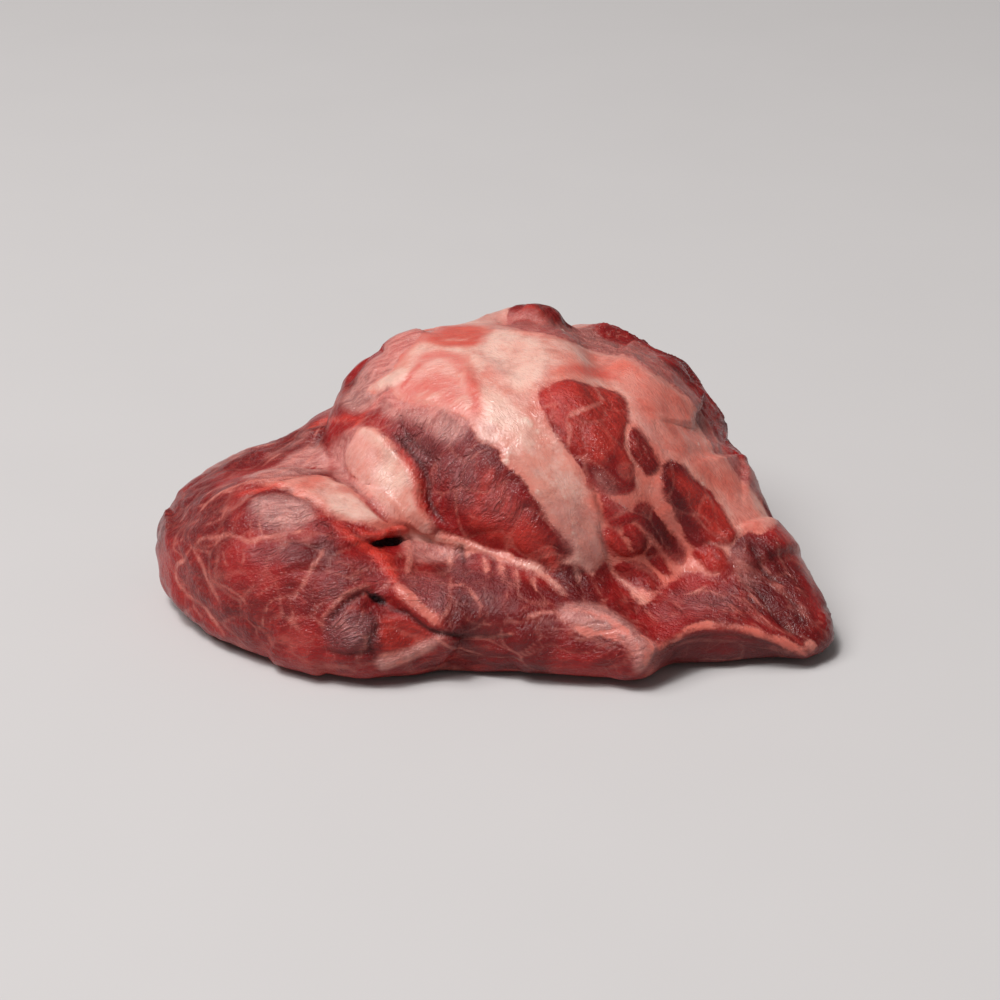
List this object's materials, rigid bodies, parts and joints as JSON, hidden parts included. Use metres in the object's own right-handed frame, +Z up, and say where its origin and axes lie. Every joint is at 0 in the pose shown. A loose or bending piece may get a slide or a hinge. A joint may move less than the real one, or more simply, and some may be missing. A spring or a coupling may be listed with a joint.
{
  "type": "beef cheek",
  "caption": "Raw beef cheek in one piece: a rounded hump with a thick cushion at one end and a thin tip at the other, lying on its flat side.",
  "frame": {"origin": "under the middle of the box of the piece, on the surface it lies on", "axes": "+X along the cheek to its thin tip, +Y to the back, +Z up"},
  "size_m": [0.186, 0.131, 0.07],
  "materials": {
    "raw_meat": "wet raw muscle with pale fascia and fat"
  },
  "bodies": {
    "root": {"beef_cheek": "raw_meat"}
  },
  "joints": []
}
